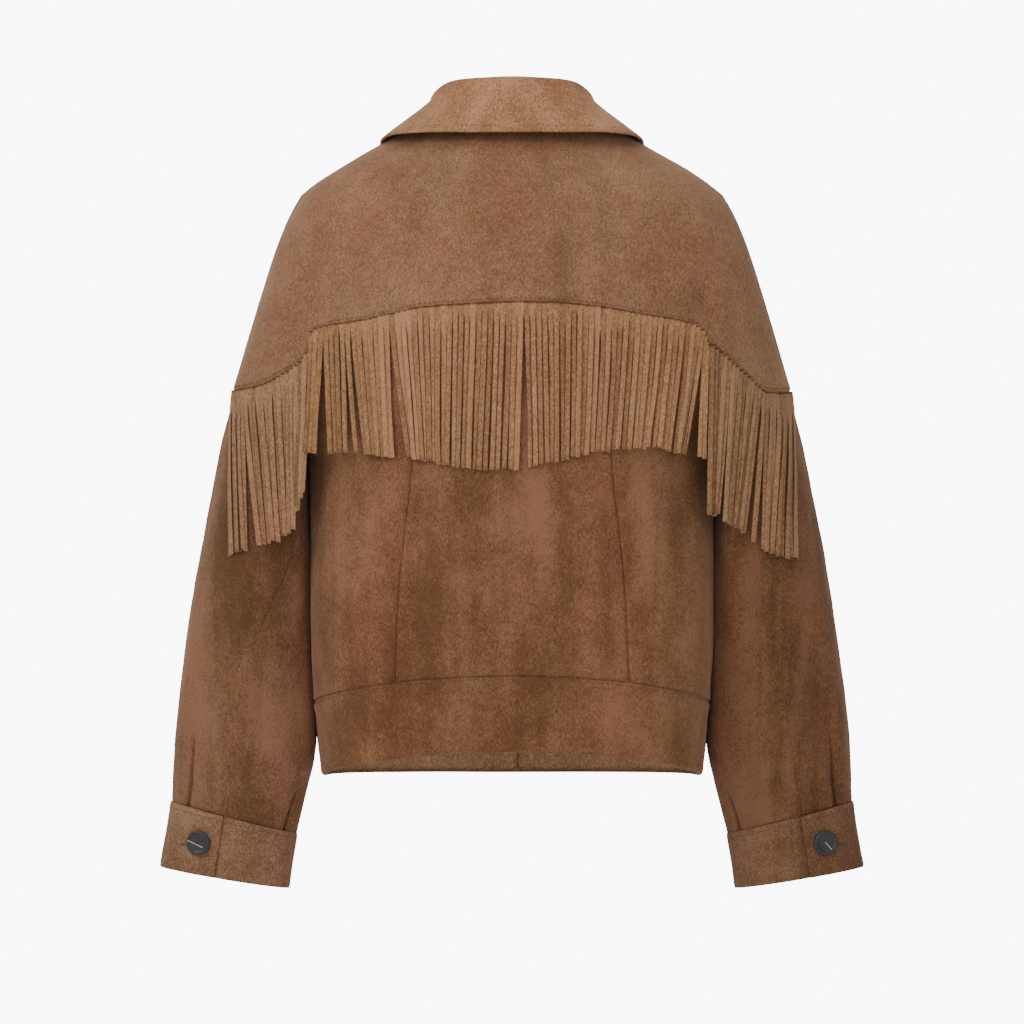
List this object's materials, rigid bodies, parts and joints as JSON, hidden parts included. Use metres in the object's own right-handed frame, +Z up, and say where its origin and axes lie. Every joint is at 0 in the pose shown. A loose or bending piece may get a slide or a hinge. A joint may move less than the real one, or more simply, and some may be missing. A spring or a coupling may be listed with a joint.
{
  "type": "fringed cropped jacket",
  "caption": "Cropped suede jacket, filled out as if worn, with a yoke over the shoulders, fringe along its back seam, a turned-down collar, cuffs and a hem band.",
  "frame": {"origin": "in the middle of the neck opening, between the shoulders, where the jacket is held", "axes": "+Z up, -Y the front, +Y the back, +X the wearer's left arm"},
  "size_m": [0.6344, 0.2722, 0.7245],
  "materials": {
    "suede": "brushed matt suede",
    "fringe_suede": "brushed matt suede, cut edges",
    "button": "satin charcoal, turned rim"
  },
  "bodies": {
    "root": {"back_yoke": "suede", "front_yoke_left": "suede", "front_yoke_right": "suede", "back_centre": "suede", "back_side_left": "suede", "back_side_right": "suede", "front_left": "suede", "front_right": "suede", "band_back": "suede", "band_left": "suede", "band_right": "suede", "sleeve_top_left": "suede", "sleeve_top_right": "suede", "sleeve_under_left": "suede", "sleeve_under_right": "suede", "cuff_left": "suede", "cuff_right": "suede", "collar": "suede", "fringe_back": "fringe_suede", "fringe_sleeve_left": "fringe_suede", "fringe_sleeve_right": "fringe_suede", "button_cuff_left": "button", "button_cuff_right": "button", "button_front_1": "button", "button_front_2": "button", "button_front_3": "button", "button_front_4": "button", "button_front_5": "button", "button_front_6": "button"}
  },
  "joints": []
}
